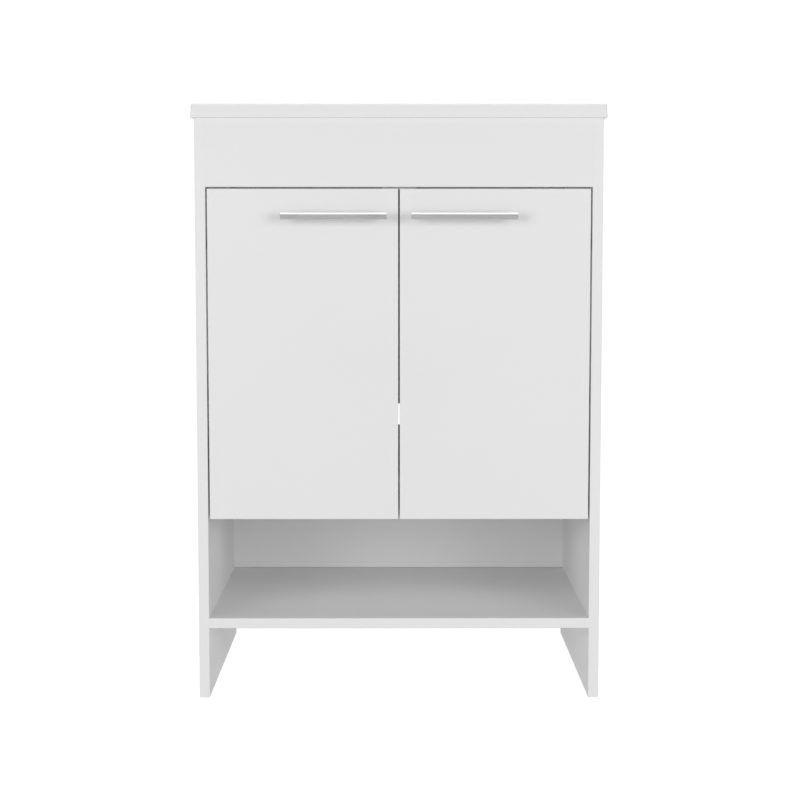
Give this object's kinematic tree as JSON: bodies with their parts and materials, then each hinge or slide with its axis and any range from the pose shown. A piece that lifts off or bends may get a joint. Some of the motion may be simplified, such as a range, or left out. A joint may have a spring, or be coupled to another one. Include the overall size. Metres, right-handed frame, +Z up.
{
  "type": "bathroom vanity cabinet",
  "caption": "White freestanding bathroom vanity: moulded basin top, two inset doors with bar handles, open bay, bottom shelf, side panels as legs.",
  "frame": {"origin": "on the floor, under the centre of the whole object's box", "axes": "+Z up, +Y from the doors towards the wall, +X to the right as seen from the front"},
  "size_m": [0.6, 0.46, 0.87],
  "materials": {
    "white_melamine_board": "white melamine-faced particleboard, satin",
    "glazed_basin_top": "gloss white glaze",
    "satin_nickel": "satin, brushed along its length",
    "nickel_plated_steel": "bright nickel plate",
    "zinc_plated_steel": "zinc plate",
    "zinc_casting": "as-cast zinc alloy"
  },
  "bodies": {
    "carcass": {"sink_top": "glazed_basin_top", "left_side_panel": "white_melamine_board", "right_side_panel": "white_melamine_board", "front_apron": "white_melamine_board", "bottom_shelf": "white_melamine_board", "cabinet_floor": "white_melamine_board", "front_lower_rail": "white_melamine_board", "inner_shelf": "white_melamine_board", "centre_stile": "white_melamine_board", "back_panel": "white_melamine_board", "rear_wall_rail": "white_melamine_board", "left_lower_hinge_arm": "nickel_plated_steel", "left_lower_hinge_lock_screw": "zinc_plated_steel", "left_lower_hinge_plate": "nickel_plated_steel", "left_lower_hinge_plate_screw_lower": "zinc_plated_steel", "left_lower_hinge_plate_screw_upper": "zinc_plated_steel", "left_upper_hinge_arm": "nickel_plated_steel", "left_upper_hinge_lock_screw": "zinc_plated_steel", "left_upper_hinge_plate": "nickel_plated_steel", "left_upper_hinge_plate_screw_lower": "zinc_plated_steel", "left_upper_hinge_plate_screw_upper": "zinc_plated_steel", "right_lower_hinge_arm": "nickel_plated_steel", "right_lower_hinge_lock_screw": "zinc_plated_steel", "right_lower_hinge_plate": "nickel_plated_steel", "right_lower_hinge_plate_screw_lower": "zinc_plated_steel", "right_lower_hinge_plate_screw_upper": "zinc_plated_steel", "right_upper_hinge_arm": "nickel_plated_steel", "right_upper_hinge_lock_screw": "zinc_plated_steel", "right_upper_hinge_plate": "nickel_plated_steel", "right_upper_hinge_plate_screw_lower": "zinc_plated_steel", "right_upper_hinge_plate_screw_upper": "zinc_plated_steel", "shelf_bolt_front_left": "zinc_plated_steel", "shelf_bolt_front_right": "zinc_plated_steel", "shelf_bolt_rear_left": "zinc_plated_steel", "shelf_bolt_rear_right": "zinc_plated_steel", "shelf_cam_front_left": "zinc_casting", "shelf_cam_front_right": "zinc_casting", "shelf_cam_rear_left": "zinc_casting", "shelf_cam_rear_right": "zinc_casting"},
    "left_door": {"left_door": "white_melamine_board", "left_handle_bar": "satin_nickel", "left_handle_post_inner": "satin_nickel", "left_handle_post_outer": "satin_nickel", "left_handle_screw_inner": "zinc_plated_steel", "left_handle_screw_outer": "zinc_plated_steel", "left_lower_hinge_cup": "nickel_plated_steel", "left_lower_hinge_pin": "zinc_plated_steel", "left_upper_hinge_cup": "nickel_plated_steel", "left_upper_hinge_pin": "zinc_plated_steel"},
    "right_door": {"right_door": "white_melamine_board", "right_handle_bar": "satin_nickel", "right_handle_post_inner": "satin_nickel", "right_handle_post_outer": "satin_nickel", "right_handle_screw_inner": "zinc_plated_steel", "right_handle_screw_outer": "zinc_plated_steel", "right_lower_hinge_cup": "nickel_plated_steel", "right_lower_hinge_pin": "zinc_plated_steel", "right_upper_hinge_cup": "nickel_plated_steel", "right_upper_hinge_pin": "zinc_plated_steel"}
  },
  "joints": [
    {"name": "left_door_hinge", "type": "hinge", "parent": "carcass", "child": "left_door", "pos_m": [-0.2636, -0.1925, 0.5], "axis": [0, 0, -1], "range_deg": [0, 100]},
    {"name": "right_door_hinge", "type": "hinge", "parent": "carcass", "child": "right_door", "pos_m": [0.2636, -0.1925, 0.5], "axis": [0, 0, 1], "range_deg": [0, 100]}
  ]
}
